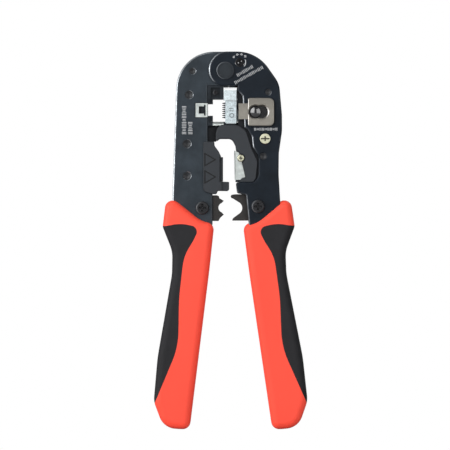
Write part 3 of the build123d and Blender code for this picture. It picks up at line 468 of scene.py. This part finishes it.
# ---------------------------------------------------------------- printed marks and painted glints


def add_piece(name, mesh, material, body):
    """Makes an object of a bmesh that rides on a body, and frees the bmesh."""
    bmesh.ops.recalc_face_normals(mesh, faces=mesh.faces)
    data = bpy.data.meshes.new(name)
    mesh.to_mesh(data)
    mesh.free()
    data.materials.append(material)
    obj = bpy.data.objects.new(name, data)
    bpy.context.scene.collection.objects.link(obj)
    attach(obj, body)
    return obj


def circle(radius, count):
    """Offsets (x, z) of count points round a circle."""
    angles = [2 * math.pi * i / count for i in range(count)]
    return [(math.cos(a) * radius, math.sin(a) * radius) for a in angles]


class PrintAndGlints:
    """Thin raised ink on a flat front face, gathered into one mesh for each body. It carries print, and
    also painted glints and a painted highlight.
    """

    THICKNESS = 0.03 * MM
    ROUND_STEPS = 5

    def __init__(self, name, body, slot, face):
        self.name, self.body, self.slot = name, body, slot
        self.face = face
        self.mesh = bmesh.new()

    def patch(self, outline):
        """A closed outline of (x, z) points in metres, raised off the face."""
        top = [self.mesh.verts.new((x, self.face - self.THICKNESS, z)) for x, z in outline]
        foot = [self.mesh.verts.new((x, self.face - 0.002 * MM, z)) for x, z in outline]
        self.mesh.faces.new(top)
        self.mesh.faces.new(list(reversed(foot)))
        for i in range(len(outline)):
            j = (i + 1) % len(outline)
            self.mesh.faces.new((top[j], top[i], foot[i], foot[j]))

    def dash(self, centre, angle, length, width):
        """A bar with rounded ends, its length along angle."""
        along = Vector((math.cos(angle), math.sin(angle)))
        across = Vector((-along.y, along.x))
        radius = width / 2
        straight = max(length / 2 - radius, 0.0)
        points = []
        for side in (1, -1):
            for step in range(self.ROUND_STEPS + 1):
                turn = math.pi * step / self.ROUND_STEPS - math.pi / 2
                shift = along * (math.cos(turn) * radius + straight) + across * math.sin(turn) * radius
                points.append(Vector(centre) + shift * side)
        self.patch([(p.x, p.y) for p in points])

    def arc(self, centre, radius, start, end, width, steps=10):
        """A curved stroke about a centre, from angle start to angle end."""
        angles = [start + (end - start) * i / steps for i in range(steps + 1)]
        rays = [(math.cos(a), math.sin(a)) for a in angles]
        outer = [(x * (radius + width / 2), z * (radius + width / 2)) for x, z in rays]
        inner = [(x * (radius - width / 2), z * (radius - width / 2)) for x, z in rays]
        for i in range(steps):
            quad = (outer[i], outer[i + 1], inner[i + 1], inner[i])
            self.patch([(centre[0] + x, centre[1] + z) for x, z in quad])

    def tick_row(self, start, end, count, height, width=0.3 * MM):
        """Pairs of upright ticks from start to end. Every third pair is shorter."""
        run = Vector(end) - Vector(start)
        angle = math.atan2(run.y, run.x) + math.pi / 2
        half_pair = 0.23 / count
        for i in range(count):
            length = height * (0.72 if i % 3 == 1 else 1.0)
            for side in (-half_pair, half_pair):
                centre = Vector(start) + run * ((i + 0.5) / count + side)
                self.dash(centre, angle, length, width)

    def finish(self):
        add_piece(self.name, self.mesh, INK_FOR_PRINT_AND_GLINTS, self.body)


def middle(node):
    """The centre of a node's box at rest, as (x, z)."""
    low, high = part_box(node)
    return (low.x + high.x) / 2, (low.z + high.z) / 2


def printed_marks_and_glints():
    """Plain ticks and strokes where such tools carry print, plus an arc of painted highlight and two
    painted glints at the lock. None of the ticks and strokes is a letter or a sign.
    """
    fixed_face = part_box("fixed_plate_front")[0].y
    moving_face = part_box("moving_plate_front")[0].y
    fixed = PrintAndGlints("print_on_fixed_plate", "fixed_frame", "blued_plate", fixed_face)
    fixed.tick_row((-23.1 * MM, 162.9 * MM), (-23.1 * MM, 148.3 * MM), 9, 2.3 * MM)
    fixed.tick_row((-20.0 * MM, 154.9 * MM), (-20.0 * MM, 148.3 * MM), 4, 2.3 * MM)
    fixed.finish()

    moving = PrintAndGlints("print_on_moving_plate", "moving_frame", "blued_plate", moving_face)
    lock = middle("lock_knob")
    for degrees in (138, 108, 78, 48):
        angle = math.radians(degrees)
        centre = (lock[0] + math.cos(angle) * 4.1 * MM, lock[1] + math.sin(angle) * 4.1 * MM)
        moving.dash(centre, angle + math.pi / 2, 1.35 * MM, 0.5 * MM)
        moving.dash(centre, angle, 1.2 * MM, 0.4 * MM)
    # Painted highlight: a pale arc on the right of the lock, where its hole's right wall catches the
    # light from the left.
    moving.arc(lock, 2.95 * MM, math.radians(-42), math.radians(28), 0.35 * MM)
    moving.tick_row((3.4 * MM, 177.9 * MM), (11.6 * MM, 182.7 * MM), 6, 1.7 * MM)
    moving.tick_row((2.2 * MM, 174.1 * MM), (16.7 * MM, 182.3 * MM), 10, 1.7 * MM)
    moving.tick_row((12.0 * MM, 151.0 * MM), (24.0 * MM, 151.0 * MM), 9, 1.5 * MM)
    moving.finish()

    # Painted glints: two small pale dots on the lock's face.
    knob = PrintAndGlints("painted_glints_on_lock", "lock", "black_screw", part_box("lock_knob")[0].y)
    for x, z in ((-0.75 * MM, -0.2 * MM), (0.75 * MM, 0.6 * MM)):
        knob.dash((lock[0] + x, lock[1] + z), 0.0, 0.5 * MM, 0.42 * MM)
    knob.finish()


def painted_shade_in_window():
    """A thin black sheet on the plate, round the button, seen through the clip pusher's window: painted
    shade where the plate lies in shadow.
    """
    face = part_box("moving_plate_front")[0].y
    x, z = middle("detent_button")
    hole = 2.95 * MM
    left, right = 3.3 * MM, 5.9 * MM
    half_height = 3.1 * MM
    steps = 48
    tiny = 0.001
    rim = []
    for across, up in circle(1.0, steps):
        limit_x = (right if across > 0 else left) / max(abs(across), tiny)
        limit_z = half_height / max(abs(up), tiny)
        reach = min(limit_x, limit_z)
        rim.append((across * reach, up * reach))
    mesh = bmesh.new()
    back, front = face - 0.005 * MM, face - 0.05 * MM
    rings = []
    for y, ring in ((back, circle(hole, steps)), (back, rim), (front, circle(hole, steps)), (front, rim)):
        rings.append([mesh.verts.new((x + across, y, z + up)) for across, up in ring])
    back_in, back_out, front_in, front_out = rings
    for i in range(steps):
        j = (i + 1) % steps
        mesh.faces.new((front_in[i], front_in[j], front_out[j], front_out[i]))
        mesh.faces.new((back_in[j], back_in[i], back_out[i], back_out[j]))
        mesh.faces.new((front_out[i], front_out[j], back_out[j], back_out[i]))
        mesh.faces.new((front_in[j], front_in[i], back_in[i], back_in[j]))
    add_piece("painted_shade_in_window", mesh, LOOKS["button_black"], "moving_frame")


def dome_profile(radius, top, crown, roll):
    """(radius, y) points from near the apex, over a dome of radius crown, round a rolled rim."""
    flat = radius - roll
    dome_steps, roll_steps = 8, 5
    points = []
    for i in range(1, dome_steps + 1):
        reach = flat * i / dome_steps
        points.append((reach, top + crown - math.sqrt(crown * crown - reach * reach)))
    rim = points[-1][1]
    for i in range(1, roll_steps + 1):
        turn = math.pi / 2 * i / roll_steps
        points.append((flat + roll * math.sin(turn), rim + roll * (1 - math.cos(turn))))
    return points


def button_dome():
    """The detent button with a polished, gently domed face and a rolled rim."""
    low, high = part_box("detent_button")
    x, z = middle("detent_button")
    radius = (high.x - low.x) / 2
    profile = dome_profile(radius, low.y, 7.0 * MM, 0.35 * MM) + [(radius, high.y)]
    steps = 64
    mesh = bmesh.new()
    rings = []
    for reach, y in profile:
        rings.append([mesh.verts.new((x + across, y, z + up)) for across, up in circle(reach, steps)])
    apex = mesh.verts.new((x, low.y, z))
    foot = mesh.verts.new((x, high.y, z))
    for i in range(steps):
        j = (i + 1) % steps
        mesh.faces.new((apex, rings[0][i], rings[0][j]))
        mesh.faces.new((foot, rings[-1][j], rings[-1][i]))
        for near, far in zip(rings, rings[1:]):
            mesh.faces.new((near[i], far[i], far[j], near[j]))
        mesh.edges.get((rings[-1][i], rings[-1][j])).smooth = False
    for face in mesh.faces:
        face.smooth = True
    dome = add_piece("domed_button", mesh, LOOKS["button_black"], "button")
    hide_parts("detent_button")


printed_marks_and_glints()
painted_shade_in_window()
button_dome()

# ---------------------------------------------------------------- camera, floor and light

VIEW_WIDTH = 227.25 * MM
VIEW_CENTRE = Vector((-2.5 * MM, 0.0, 102.8 * MM))
VIEW_DISTANCE = 1.9


def camera():
    data = bpy.data.cameras.new("camera")
    data.sensor_width = 36.0
    data.lens = data.sensor_width * VIEW_DISTANCE / VIEW_WIDTH
    data.clip_start = 0.05
    obj = bpy.data.objects.new("camera", data)
    obj.location = VIEW_CENTRE + Vector((0.0, -VIEW_DISTANCE, 0.0))
    obj.rotation_euler = (math.radians(90.0), 0.0, 0.0)
    bpy.context.scene.collection.objects.link(obj)
    bpy.context.scene.camera = obj


def floor():
    """A plain pale floor under the handles' ends."""
    half = 6.0
    corners = [(-half, -half, 0), (half, -half, 0), (half, half, 0), (-half, half, 0)]
    mesh = bpy.data.meshes.new("floor")
    mesh.from_pydata(corners, [], [(0, 1, 2, 3)])
    obj = bpy.data.objects.new("floor", mesh)
    obj.location.z = cad_low.z - 0.02 * MM
    bpy.context.scene.collection.objects.link(obj)
    material, s = new_material("floor")
    s.surface((0.5, 0.5, 0.5), 0.8, 0.0, 0.1)
    glow = s.add("ShaderNodeEmission")
    choose = s.add("ShaderNodeMixShader")
    s.links.new(s.add("ShaderNodeLightPath").outputs["Is Camera Ray"], choose.inputs["Fac"])
    s.links.new(s.bsdf.outputs[0], choose.inputs[1])
    s.links.new(glow.outputs[0], choose.inputs[2])
    s.links.new(choose.outputs[0], s.out.inputs["Surface"])
    mesh.materials.append(material)


def softbox(name, place, size, power, target=(0.0, 0.0, 0.11)):
    data = bpy.data.lights.new(name, "AREA")
    data.shape = "RECTANGLE"
    data.size, data.size_y = size
    data.energy = power
    obj = bpy.data.objects.new(name, data)
    obj.location = place
    obj.rotation_euler = (Vector(target) - Vector(place)).to_track_quat("-Z", "Y").to_euler()
    bpy.context.scene.collection.objects.link(obj)


def studio():
    """White surroundings for the camera, dimmer ones for reflections, and softboxes at both sides."""
    world = bpy.data.worlds.new("studio")
    bpy.context.scene.world = world
    world.use_nodes = True
    tree = world.node_tree
    tree.nodes.clear()
    out = tree.nodes.new("ShaderNodeOutputWorld")
    seen = tree.nodes.new("ShaderNodeBackground")
    seen.inputs["Strength"].default_value = 1.0
    ambient = tree.nodes.new("ShaderNodeBackground")
    ambient.inputs["Strength"].default_value = 0.22
    choose = tree.nodes.new("ShaderNodeMixShader")
    path = tree.nodes.new("ShaderNodeLightPath")
    for node in (seen, ambient):
        node.inputs["Color"].default_value = (1.0, 1.0, 1.0, 1.0)
    tree.links.new(path.outputs["Is Camera Ray"], choose.inputs["Fac"])
    tree.links.new(ambient.outputs[0], choose.inputs[1])
    tree.links.new(seen.outputs[0], choose.inputs[2])
    tree.links.new(choose.outputs[0], out.inputs["Surface"])
    softbox("key", (-0.45, -1.1, 0.45), (0.6, 0.8), 7.0)
    softbox("fill", (0.5, -1.1, 0.3), (0.6, 0.8), 4.6)
    softbox("edge", (-0.95, -0.3, 0.14), (0.5, 0.9), 9.0)
    softbox("top", (0.0, -0.25, 0.9), (0.6, 0.4), 1.5)
    softbox("back", (0.3, 0.9, 0.5), (0.7, 0.7), 4.0)
    bpy.context.scene.view_settings.view_transform = "Standard"


camera()
floor()
studio()
